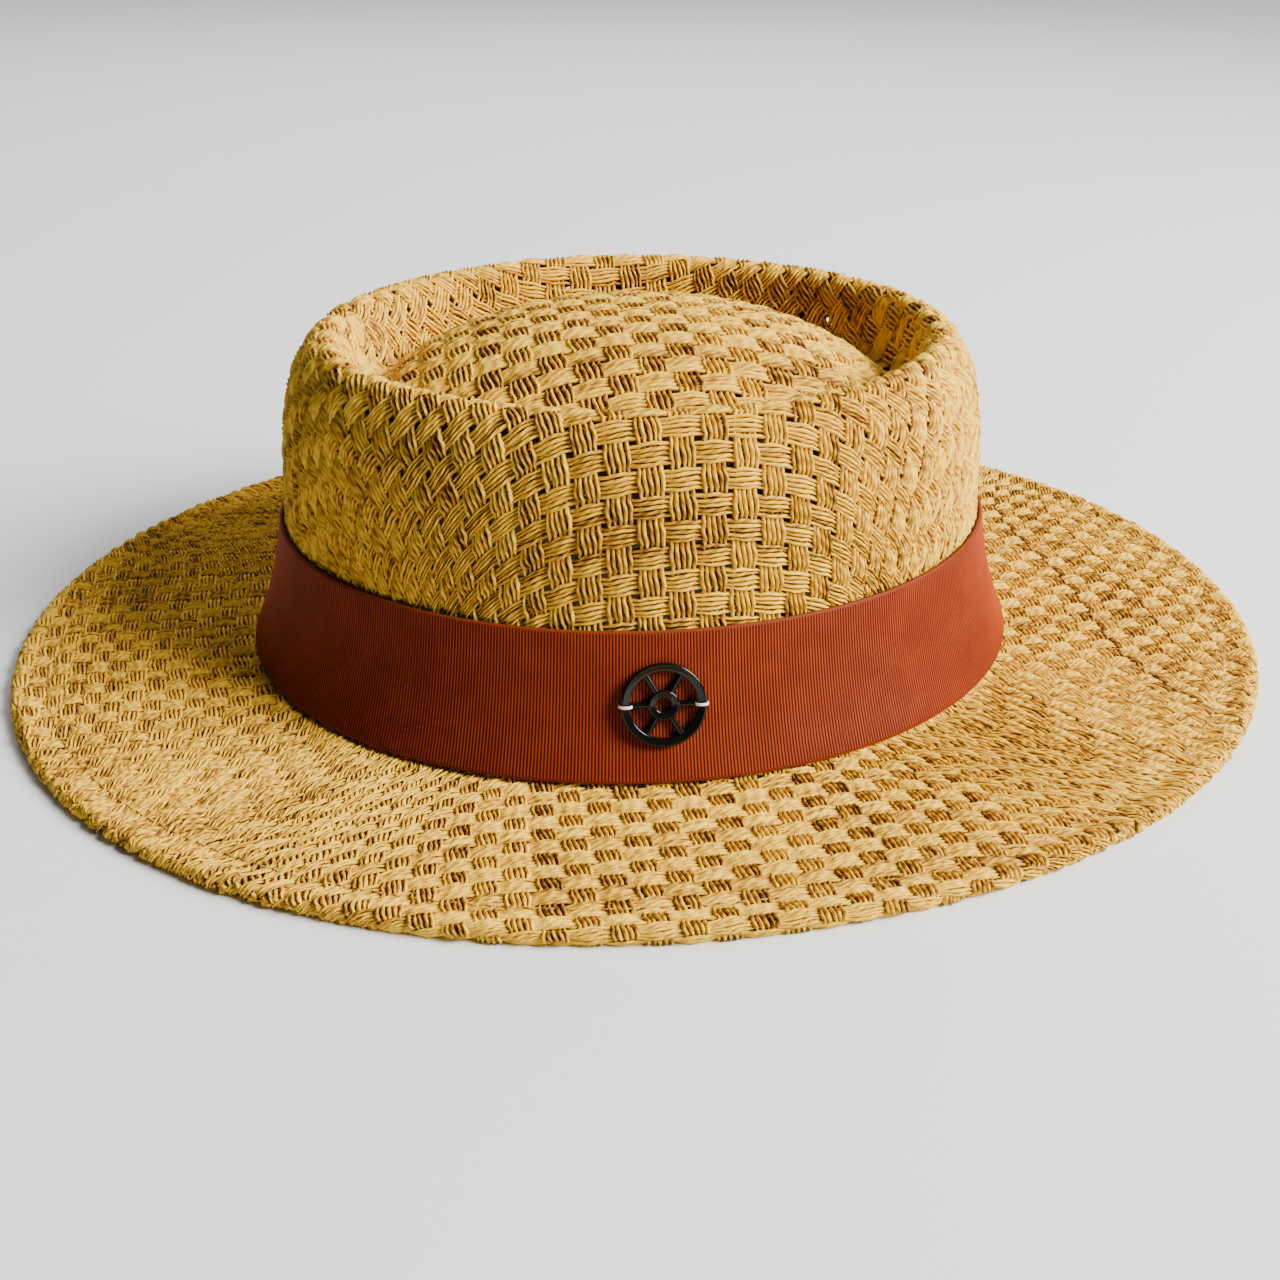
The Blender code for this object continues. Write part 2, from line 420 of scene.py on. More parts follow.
def new_piece(name: str, mesh: bpy.types.Mesh) -> bpy.types.Object:
    """Links a mesh to the scene as an object at the origin."""
    piece = bpy.data.objects.new(name, mesh)
    bpy.context.collection.objects.link(piece)
    return piece


def line_mesh(name: str, points: np.ndarray, edges: np.ndarray) -> bpy.types.Mesh:
    """Mesh of bare points and the edges between them."""
    mesh = bpy.data.meshes.new(name)
    mesh.vertices.add(len(points))
    mesh.vertices.foreach_set("co", points.ravel())
    mesh.edges.add(len(edges))
    mesh.edges.foreach_set("vertices", edges.ravel())
    mesh.update()
    return mesh


def bridge(mesh: bmesh.types.BMesh, first: list, second: list) -> None:
    """Adds the quads between two closed rings of vertices."""
    for row in range(len(first)):
        after = (row + 1) % len(first)
        mesh.faces.new((first[row], first[after], second[after], second[row]))


def shaped(name: str, mesh: bmesh.types.BMesh, dressed: bpy.types.Material) -> bpy.types.Object:
    """Object of a bmesh, smooth, with its faces out and its material.

    Args:
        name: the piece's name.
        mesh: the bmesh, which is freed.
        dressed: its material.

    Returns:
        The object.
    """
    bmesh.ops.recalc_face_normals(mesh, faces=mesh.faces)
    data = bpy.data.meshes.new(name)
    mesh.to_mesh(data)
    mesh.free()
    data.shade_smooth()
    data.materials.append(dressed)
    return new_piece(name, data)


@dataclass(frozen=True)
class HatForm:
    """Outside of the blocked hat, with the same sizes and rules as the CAD model. Lengths are in metres."""

    crown_length: float = 0.1964
    crown_width: float = 0.1652
    crown_height: float = 0.0905
    taper_end: float = 0.0145
    taper_side: float = 0.0110
    crease_depth: float = 0.0180
    crease_inset: float = 0.0110
    dome_rise: float = 0.0205
    dome_fullness: float = 2.8
    reach_forward: float = 0.0835
    reach_back: float = 0.0768
    reach_side: float = 0.0655
    brim_sag: float = 0.0008
    foot_reach: float = 0.0050
    hem_width: float = 0.0080
    hem_thickness: float = 0.0040
    ribbon_top: float = 0.0400
    ribbon_foot: float = 0.0006
    ribbon_flare: float = 0.0110
    ribbon_gap: float = 0.0003
    ribbon_thickness: float = 0.0009
    pull_reach: float = 0.30
    pull_height: float = 0.42

    @property
    def mean(self) -> float:
        """Mean radius of the crown's oval at the ribbon's upper edge."""
        return (self.crown_length + self.crown_width) / 4

    @property
    def middle(self) -> float:
        """Place of the crown's middle along X, which centres the whole hat on the origin."""
        return (self.reach_back - self.reach_forward) / 2

    @property
    def foot(self) -> float:
        """Height of the brim's upper side where the crown rises from it."""
        return self.hem_thickness - self.brim_sag

    def flare(self, steps: int) -> list[tuple[float, float]]:
        """Radius and height down the straw under the ribbon, as a quadratic bend.

        Args:
            steps: stretches of the bend.

        Returns:
            The profile's points from the ribbon's upper edge to its lower edge.
        """
        low = self.foot + self.ribbon_foot
        rise = self.ribbon_top - low
        points = []
        for share in np.linspace(0.0, 1.0, steps + 1):
            out = 2 * share * (1 - share) * self.pull_reach + share**2
            up = (1 - share) ** 2 + 2 * share * (1 - share) * self.pull_height
            points.append((self.mean + self.ribbon_flare * out, low + rise * up))
        return points

    def profile(self, turn: float) -> list[tuple[float, float]]:
        """Mean radius and height along the outside, from the dome's middle to the hem's underside.

        Args:
            turn: place round the oval, in radians.

        Returns:
            The profile's points, as many at every turn.
        """
        end = math.cos(turn) ** 2
        taper = self.taper_side + (self.taper_end - self.taper_side) * end
        crest = self.mean - taper
        crease = crest - self.crease_inset
        low = self.crown_height - self.crease_depth
        dome = [
            (share * crease, low + self.dome_rise * (1 - share**self.dome_fullness))
            for share in (0.0, 0.15, 0.30, 0.45, 0.60, 0.75, 0.88)
        ]
        rim = [
            (crest - self.crease_inset * inset, self.crown_height - self.crease_depth * depth)
            for inset, depth in (
                (1.00, 1.00), (0.84, 0.88), (0.66, 0.52), (0.50, 0.20), (0.28, 0.04), (0.00, 0.00)
            )
        ]
        rise = self.crown_height - self.ribbon_top
        wall = [
            (self.mean - taper * inset, self.ribbon_top + rise * height)
            for inset, height in ((0.76, 0.96), (0.53, 0.87), (0.34, 0.75), (0.17, 0.54), (0.08, 0.28))
        ]
        reach = self.reach_forward if math.cos(turn) > 0 else self.reach_back
        edge = self.mean + self.reach_side + (reach - self.reach_side) * end
        start = self.mean + self.ribbon_flare
        inner = start + self.foot_reach
        hem = edge - self.hem_width
        brim = [(start + self.foot_reach * 0.45, self.foot + self.ribbon_foot * 0.3)]
        brim += [
            (inner + (hem - inner) * share, self.foot + (self.hem_thickness - self.foot) * share)
            for share in (0.0, 0.25, 0.5, 0.75, 1.0)
        ]
        round_off = self.hem_thickness / 2
        rounding = [
            (
                edge - round_off + round_off * math.sin(share * math.pi),
                round_off * (1 + math.cos(share * math.pi)),
            )
            for share in (0.0, 0.25, 0.5, 0.75, 1.0)
        ]
        return dome + rim + wall + self.flare(6) + brim + rounding + [(hem, 0.0)]

    def outward(self, turn: np.ndarray) -> np.ndarray:
        """Level direction out of the oval at each turn."""
        across = np.stack([np.cos(turn) / self.crown_length, np.sin(turn) / self.crown_width], axis=-1)
        return across / np.linalg.norm(across, axis=-1, keepdims=True)

    def plan(self, radius: np.ndarray, turn: np.ndarray) -> np.ndarray:
        """Plan points at a mean radius. Inside the crease the ovals shrink towards the middle.

        Args:
            radius: mean radii.
            turn: turns, in radians.

        Returns:
            X and Y of each point.
        """
        core = self.mean - self.taper_side - self.crease_inset
        reach = np.maximum(radius, core) - self.mean
        oval = np.stack(
            [self.crown_length / 2 * np.cos(turn), self.crown_width / 2 * np.sin(turn)], axis=-1
        )
        share = np.minimum(1.0, radius / core)
        crown = (oval + self.outward(turn) * reach[..., None]) * share[..., None]
        return crown + np.array([self.middle, 0.0])


class Surface:
    """The hat's smooth outside as a grid of stations and turns, which gives points and normals between."""

    BETWEEN = 8
    TURNS = 240

    def __init__(self, form: HatForm) -> None:
        """Samples the form.

        Args:
            form: the hat's form.
        """
        turns = np.arange(self.TURNS) * FULL_TURN / self.TURNS
        columns = [self._smooth(np.array(form.profile(turn))) for turn in turns]
        profiles = np.array(columns).transpose(1, 0, 2)
        plan = form.plan(profiles[..., 0], np.broadcast_to(turns, profiles.shape[:2]))
        self.points = np.concatenate([plan, profiles[..., 1:]], axis=-1)
        self.stations = len(self.points)
        along = np.gradient(self.points, axis=0)
        around = np.roll(self.points, -1, axis=1) - np.roll(self.points, 1, axis=1)
        around[0] = around[1]
        normal = np.cross(along, around)
        self.normals = normal / np.linalg.norm(normal, axis=-1, keepdims=True)
        self.normals[0] = (0.0, 0.0, 1.0)

    def _smooth(self, points: np.ndarray) -> np.ndarray:
        """Curve through a profile's points, BETWEEN samples to each stretch."""
        before = points[1] * (-1.0, 1.0)
        after = 2 * points[-1] - points[-2]
        padded = np.vstack([before, points, after])
        out = []
        for index in range(1, len(padded) - 2):
            a, b, c, d = padded[index - 1 : index + 3]
            for step in range(self.BETWEEN):
                t = step / self.BETWEEN
                out.append(
                    b
                    + 0.5 * t * (c - a)
                    + t**2 * (a - 2.5 * b + 2 * c - 0.5 * d)
                    + 0.5 * t**3 * (3 * b - 3 * c + d - a)
                )
        out.append(points[-1])
        return np.array(out)

    def _column(self, turn: float) -> int:
        """Number of the grid's column at a turn."""
        return int(round(turn / FULL_TURN * self.TURNS)) % self.TURNS

    def lengths(self, turn: float) -> np.ndarray:
        """Distance from the dome's middle to each station, along one turn."""
        return run_length(self.points[:, self._column(turn)])

    def girth(self, turn: float) -> np.ndarray:
        """Distance round the hat for each radian of turn, at each station."""
        column = self._column(turn)
        after = self.points[:, (column + 1) % self.TURNS]
        before = self.points[:, column - 1]
        return np.linalg.norm(after - before, axis=-1) / (2 * FULL_TURN / self.TURNS)

    def at(self, station: np.ndarray, turn: np.ndarray) -> tuple[np.ndarray, np.ndarray]:
        """Points and normals at any stations and turns.

        Args:
            station: stations, as decimal numbers of grid rows.
            turn: turns, in radians.

        Returns:
            The points and the unit normals.
        """
        row = np.clip(station, 0, self.stations - 1.001)
        low = row.astype(int)
        down = (row - low)[..., None]
        column = np.mod(turn, FULL_TURN) / FULL_TURN * self.TURNS
        left = column.astype(int) % self.TURNS
        side = (column - column.astype(int))[..., None]
        right = (left + 1) % self.TURNS
        found = []
        for grid in (self.points, self.normals):
            upper = grid[low, left] * (1 - side) + grid[low, right] * side
            lower = grid[low + 1, left] * (1 - side) + grid[low + 1, right] * side
            found.append(upper * (1 - down) + lower * down)
        normal = found[1] / np.linalg.norm(found[1], axis=-1, keepdims=True)
        return found[0], normal


@dataclass
class StrawWeave:
    """Crown and brim woven over one, under one, of strips that hold five twisted strands each."""

    surface: Surface
    finish: bpy.types.Material
    row_pitch: float = 6.2 * MM
    column_pitch: float = 7.5 * MM
    strands: int = 5
    groups: int = 4
    sides: int = 3
    start_angle: float = math.radians(-120)
    seed: int = 11

    # How far the weave is pushed together between the hat's axes, and how suddenly it shears there
    tightest: float = 0.42
    sharpness: float = 4.0

    # Across a strip, in widths of a strand: how far its strands spread where it lies on top, draw in
    # towards each crossing, lean as the strip twists and wander. They also wander along it, in pitches
    bulge: float = 1.06
    pinch: float = 1.1
    pinch_below: float = 0.10
    twisting: float = 0.85
    twist_ease: float = 0.12
    twist_spread: float = 0.35
    side_wander: float = 0.13
    run_wander: float = 0.02

    # Square to the hat: rise over and under the other strips, depth of the weave's middle, and the
    # hem's groove and roll
    rise: float = 0.66 * MM
    rise_at_rim: float = 0.48 * MM
    rise_on_brim: float = 0.62 * MM
    rise_at_hem: float = 0.50 * MM
    depth: float = 1.15 * MM
    depth_at_hem: float = 0.85 * MM
    groove: float = 0.9 * MM
    roll: float = 0.35 * MM
    rounding: float = 0.22
    unevenness: float = 0.07 * MM

    # Where strands lie closer than the easy width, some are pushed up and every second one down
    easy_width: float = 1.00 * MM
    crowding: float = 0.75 * MM
    pushed_up: float = 0.3
    pushed_down: float = -1.0
    push_spread: float = 0.5
    push_wander: float = 0.3

    # A strand's radius, as a share of its distance from the next one and within two limits
    overlap: float = 0.66
    thinnest: float = 0.40 * MM
    thickest: float = 0.76 * MM
    radius_spread: float = 0.06
    fullness: float = 1.0

    # The straw's tone: its mean, how much strips and strands differ, and the painted shade that darkens the
    # warp where it lies flat
    tone: float = 0.60
    tone_of_strips: float = 0.05
    tone_of_strands: float = 0.16
    tone_wander: float = 0.07
    warp_painted_shade: float = 0.16
    noise: np.random.Generator = field(init=False)

    # By the profile's points: how tightly the blocked weave is pushed together along the hat's two
    # axes, how wide it stays round the hat, and how much of its pitch a strip fills where it runs
    # round the hat and where it runs outwards
    ZONES = (
        {"point": 0, "along": 1.08, "around": 1.08, "round": 0.94, "outward": 0.92},
        {"point": 7, "along": 1.08, "around": 1.08, "round": 0.94, "outward": 0.92},
        {"point": 12, "along": 1.04, "around": 1.04, "round": 0.92, "outward": 0.86},
        {"point": 15, "along": 1.00, "around": 1.00, "round": 0.90, "outward": 0.86},
        {"point": 18, "along": 1.00, "around": 1.00, "round": 0.95, "outward": 0.93},
        {"point": 24, "along": 0.86, "around": 1.00, "round": 1.04, "outward": 0.90},
        {"point": 26, "along": 0.80, "around": 1.00, "round": 1.06, "outward": 0.84},
        {"point": 30, "along": 0.70, "around": 1.00, "round": 1.06, "outward": 0.84},
        {"point": 36, "along": 0.70, "around": 1.00, "round": 1.04, "outward": 0.80},
    )

    # Samples along a strip at each crossing: place in pitches and share of the strip's rise
    OVER = ((-0.34, 0.60), (-0.12, 1.0), (0.12, 1.0), (0.34, 0.60))
    UNDER = ((-0.20, -1.0), (0.20, -1.0))

    # Lengths, in pitches, of the waves that make up a strand's wander
    WAVES = (1.7, 3.9, 9.0)
    WAVE_HEIGHT = 0.5
    WAVE_ROUGHNESS = 0.16
    HALVINGS = 26

    def __post_init__(self) -> None:
        """Works out how far the sheet reaches at each station."""
        self.noise = np.random.default_rng(self.seed)
        surface = self.surface
        self.stations = np.arange(surface.stations)
        self.along, self.around, self.fill_round, self.fill_outward = (
            np.interp(
                self.stations,
                [zone["point"] * surface.BETWEEN for zone in self.ZONES],
                [zone[label] for zone in self.ZONES],
            )
            for label in ("along", "around", "round", "outward")
        )
        ends = (surface.lengths(0.0) + surface.lengths(math.pi)) / 2
        sides = surface.lengths(math.pi / 2)
        middle = (self.along[1:] + self.along[:-1]) / 2
        self.columns = self._sum(np.diff(ends) / middle / self.column_pitch)
        self.rows = self._sum(np.diff(sides) / middle / self.row_pitch)
        end = self.rows * self.around * self.row_pitch / np.maximum(surface.girth(0.0), TINY)
        side = self.columns * self.around * self.column_pitch / np.maximum(surface.girth(math.pi / 2), TINY)
        end[0] = end[1]
        side[0] = side[1]
        mean = (end + side) / 2
        between = np.maximum(2 - mean, self.tightest)
        # Waves of the turn that hold the weave's spacing at the ends, at the sides and between them
        self.waves = {2: (end - side) / 4, 4: (mean - between) / 8, 8: (mean + between - 2) / 16}
        # A sheared weave grows along the hat as it narrows round it
        stretch = np.sqrt(2 - (between / mean) ** 2)
        self.slant = surface.lengths(math.pi / 4)
        self.sheared = self._sum(np.diff(self.slant) * (stretch[1:] + stretch[:-1]) / 2)

    @staticmethod
    def _sum(steps: np.ndarray) -> np.ndarray:
        """Running sum that starts at 0."""
        return np.concatenate([[0.0], np.cumsum(steps)])

    def _table(self, station: np.ndarray, values: np.ndarray) -> np.ndarray:
        """Values between the stations."""
        return np.interp(station, self.stations, values)

    def _shares(
        self, station: np.ndarray, column: np.ndarray, row: np.ndarray
    ) -> tuple[np.ndarray, np.ndarray]:
        """Places as shares of the sheet's reach at each station, across the columns and the rows."""
        reach = self._table(station, self.columns) + TINY
        depth = self._table(station, self.rows) + TINY
        return column / reach, row / depth

    def lay(self, column: np.ndarray, row: np.ndarray) -> tuple[np.ndarray, np.ndarray]:
        """Lays places of the flat weave on the hat.

        Args:
            column: places across the columns, counted from the middle.
            row: places across the rows, counted from the middle.

        Returns:
            Stations and turns. A station past the last one is off the hat.
        """
        low = np.zeros_like(column)
        high = np.full_like(column, self.surface.stations - 1.0)
        for _step in range(self.HALVINGS):
            middle = (low + high) / 2
            across, down = self._shares(middle, column, row)
            outside = across**2 + down**2 > 1
            low = np.where(outside, middle, low)
            high = np.where(outside, high, middle)
        station = (low + high) / 2
        across, down = self._shares(station, column, row)
        angle = np.arctan2(down, across)
        turn = angle
        for times, wave in self.waves.items():
            turn = turn + self._table(station, wave) * np.sin(times * angle)
        straight = self._table(station, self.slant)
        sheared = self._table(station, self.sheared)
        distance = straight + (sheared - straight) * np.abs(np.sin(2 * angle)) ** self.sharpness
        off = (column / self.columns[-1]) ** 2 + (row / self.rows[-1]) ** 2 > 1
        off |= distance > self.slant[-1]
        station = np.interp(distance, self.slant, self.stations)
        return np.where(off, self.surface.stations + 1.0, station), turn

    def strips(self, run: Run) -> dict[str, np.ndarray]:
        """Every strip's strands, sampled along their run.

        Args:
            run: which way the strips go.

        Returns:
            Arrays with an entry for each strip, strand and sample: point, normal, thickness, tone, along, on.
        """
        weft = run is Run.WEFT
        count = int(self.rows[-1] if weft else self.columns[-1])
        crossings = int(self.columns[-1] if weft else self.rows[-1]) + 1
        numbers = np.arange(-count, count + 1)
        sampled = [self._samples(number, crossings, weft) for number in numbers]
        longest = max(len(places) for places, _heights in sampled)
        shape = (len(numbers), self.strands, longest)
        place = np.full(shape, crossings * 2.0)
        height = np.zeros(shape)
        for strip, (places, heights) in enumerate(sampled):
            place[strip, :, : len(places)] = places
            height[strip, :, : len(places)] = heights
        strand = (np.arange(self.strands) - (self.strands - 1) / 2)[None, :, None]
        offset = self._offset(place, height > 0, strand, 1.0 if weft else -1.0)
        middle = np.broadcast_to(numbers[:, None, None], shape).astype(float)
        station, turn = self.lay(place, middle) if weft else self.lay(middle, place)
        round_share = np.sin(turn) ** 2 if weft else np.cos(turn) ** 2
        outward = self._table(station, self.fill_outward)
        fill = outward + (self._table(station, self.fill_round) - outward) * round_share
        across = middle + offset * fill / self.strands
        place = place + self._wander(place) * self.run_wander
        station, turn = self.lay(place, across) if weft else self.lay(across, place)
        point, normal = self.surface.at(station, turn)
        lift = self._lift(station, height, strand) + self._wander(place) * self.unevenness
        width = self._spacing(point)
        lift = lift + self._push(width, place)
        point = point + normal * lift[..., None]
        radius = np.clip(width * self.overlap, self.thinnest, self.thickest)
        radius = radius * self.noise.normal(1.0, self.radius_spread, shape[:2] + (1,))
        # Nothing reaches below the floor
        point[..., 2] = np.maximum(point[..., 2], radius)
        tone = self._tones(place)
        # Painted shade: the warp is darker where the hat's surface is level, on the brim and dome, for how the
        # light falls on it
        if not weft:
            tone = tone - self.warp_painted_shade * normal[..., 2] ** 2
        pitch = self.column_pitch if weft else self.row_pitch
        return {
            "point": point,
            "normal": normal,
            "thickness": radius,
            "tone": tone,
            "along": place * pitch + self.noise.uniform(0, 1, shape[:2] + (1,)),
            "on": station <= self.surface.stations - 1,
        }

    def _offset(self, place: np.ndarray, over: np.ndarray, strand: np.ndarray, lay: float) -> np.ndarray:
        """Place of each sample across its strip, in widths of a strand.

        Args:
            place: places along the strips, in pitches.
            over: whether the strip lies on top there.
            strand: each strand's number, counted from the strip's middle.
            lay: 1 for a strip that is twisted one way, -1 for the other.

        Returns:
            The places.
        """
        from_middle = place - np.round(place)
        drawn_in = np.where(over, from_middle**2, self.pinch_below)
        lean = from_middle * np.where(over, self.twisting, -self.twisting)
        lean = lean * (1 - self.twist_ease * strand**2) * lay
        lean = lean * self.noise.normal(1.0, self.twist_spread, (len(place), 1, 1))
        return strand * (self.bulge - self.pinch * drawn_in) + lean + self._wander(place) * self.side_wander

    def _push(self, width: np.ndarray, place: np.ndarray) -> np.ndarray:
        """How far crowded strands are pushed out of the weave or into it, by their distance apart."""
        squeezed = np.clip(1 - width / self.easy_width, 0.0, 1.0)
        second = np.arange(self.strands) % 2 == 1
        pushed = np.where(second, self.pushed_down, self.pushed_up)[None, :, None]
        pushed = pushed + self.noise.uniform(-self.push_spread, self.push_spread, place.shape[:2] + (1,))
        pushed = pushed + self._wander(place) * self.push_wander
        return squeezed * pushed * self.crowding

    def _samples(self, number: int, crossings: int, weft: bool) -> tuple[np.ndarray, np.ndarray]:
        """Places and shares of the rise along one strip."""
        places = []
        heights = []
        for crossing in range(-crossings, crossings + 1):
            even = (crossing + number) % 2 == 0
            for place, height in self.OVER if even == weft else self.UNDER:
                places.append(crossing + place)
                heights.append(height)
        return np.array(places), np.array(heights)

    def _wander(self, place: np.ndarray) -> np.ndarray:
        """Smooth wander along each strand, about 1 high."""
        total = np.zeros(place.shape)
        for length in self.WAVES:
            phase = self.noise.uniform(0, FULL_TURN, place.shape[:2] + (1,))
            total += np.sin(place * FULL_TURN / length + phase) * self.WAVE_HEIGHT
        return total + self.noise.normal(0, self.WAVE_ROUGHNESS, place.shape)

    def _lift(self, station: np.ndarray, height: np.ndarray, strand: np.ndarray) -> np.ndarray:
        """Height of each sample's centre over the hat's outside."""
        rises = (
            (0, self.rise), (9, self.rise), (12, self.rise_at_rim), (14, self.rise), (22, self.rise),
            (26, self.rise_on_brim), (29, self.rise_on_brim), (31, self.rise_at_hem),
        )
        depths = ((0, self.depth), (26, self.depth), (30, self.depth_at_hem))
        # The hem's seam is a groove, and the turned edge outside it is slightly padded
        flank = -0.7 * self.groove
        seam = (
            (29.60, 0.0), (29.87, flank), (30.0, -self.groove), (30.15, flank),
            (30.6, self.roll), (33.0, self.roll), (36.0, 0.0),
        )
        point = station / self.surface.BETWEEN
        rise, depth, fold = (np.interp(point, *zip(*table)) for table in (rises, depths, seam))
        rounded = 1 - self.rounding * (strand / 2) ** 2
        return height * rise * rounded - depth + fold

    def _spacing(self, point: np.ndarray) -> np.ndarray:
        """Distance of each sample from the next strand of its strip, square to the strand."""
        tangent = np.gradient(point, axis=2)
        tangent /= np.linalg.norm(tangent, axis=-1, keepdims=True) + 1e-12
        apart = np.diff(point, axis=1)
        apart = np.concatenate([apart, apart[:, -1:]], axis=1)
        apart = apart - (apart * tangent).sum(-1, keepdims=True) * tangent
        return np.linalg.norm(apart, axis=-1)

    def _tones(self, place: np.ndarray) -> np.ndarray:
        """Tone of each sample: each strip, each strand and each float has its own."""
        strip = self.noise.normal(0, self.tone_of_strips, (len(place), 1, 1))
        strand = self.noise.normal(0, self.tone_of_strands, place.shape[:2] + (1,))
        return self.tone + strip + strand + self._wander(place) * self.tone_wander

    def pieces(self) -> list[bpy.types.Object]:
        """Builds the strips of both runs, in groups from one side of the hat to the other.

        Returns:
            The pieces.
        """
        tree = self._tree()
        made = []
        for run in Run:
            strips = self.strips(run)
            done = np.cumsum(strips["on"].sum(axis=(1, 2)))
            group = ((done - 1) * self.groups // done[-1]).astype(int)
            for index in range(self.groups):
                name = f"straw_{run.value}_{index + 1}"
                piece = new_piece(name, self._lines(name, strips, group == index))
                tree.applied(piece, {"Fullness": self.fullness})
                made.append(piece)
        return made

    def _lines(self, name: str, strips: dict[str, np.ndarray], chosen: np.ndarray) -> bpy.types.Mesh:
        """Mesh of bare lines along the strands of the chosen strips, with what each sample carries."""
        on = strips["on"][chosen]
        index = np.cumsum(on.ravel()).reshape(on.shape) - 1
        joined = on[..., 1:] & on[..., :-1]
        edges = np.stack([index[..., :-1][joined], index[..., 1:][joined]], axis=-1)
        mesh = line_mesh(name, strips["point"][chosen][on], edges)
        for label in ("thickness", "tone", "along"):
            carried = mesh.attributes.new(label, "FLOAT", "POINT")
            carried.data.foreach_set("value", strips[label][chosen][on])
        facing = mesh.attributes.new("facing", "FLOAT_VECTOR", "POINT")
        facing.data.foreach_set("vector", strips["normal"][chosen][on].ravel())
        return mesh

    def _tree(self) -> Tree:
        """Tree that turns lines into strands of three sides, one of them outwards."""
        tree = Tree("straw_strands", {"Fullness": 1.0})
        lines = tree.entry["Geometry"]
        curve = tree.out("GeometryNodeMeshToCurve", {}, {"Mesh": lines})
        facing = tree.named("facing", "FLOAT_VECTOR")
        turned = tree.out("GeometryNodeSetCurveNormal", {"mode": "FREE"}, {"Curve": curve, "Normal": facing})
        thickness = tree.product(tree.named("thickness", "FLOAT"), tree.entry["Fullness"])
        outline = tree.out(
            "GeometryNodeCurvePrimitiveCircle", {"mode": "RADIUS"}, {"Resolution": self.sides, "Radius": 1.0}
        )
        outline = tree.out(
            "GeometryNodeTransform", {}, {"Geometry": outline, "Rotation": (0.0, 0.0, self.start_angle)}
        )
        number = tree.out("GeometryNodeInputIndex", {}, {})
        share = tree.out("ShaderNodeMath", {"operation": "DIVIDE"}, {0: number, 1: self.sides - 1.0})
        outline = tree.out(
            "GeometryNodeStoreNamedAttribute",
            {"data_type": "FLOAT", "domain": "POINT"},
            {"Geometry": outline, "Name": "around", "Value": share},
        )
        tubes = tree.out(
            "GeometryNodeCurveToMesh",
            {},
            {"Curve": turned, "Profile Curve": outline, "Scale": thickness, "Fill Caps": True},
        )
        smooth = tree.out("GeometryNodeSetShadeSmooth", {}, {"Geometry": tubes, "Shade Smooth": True})
        tree.finish(smooth, self.finish)
        return tree


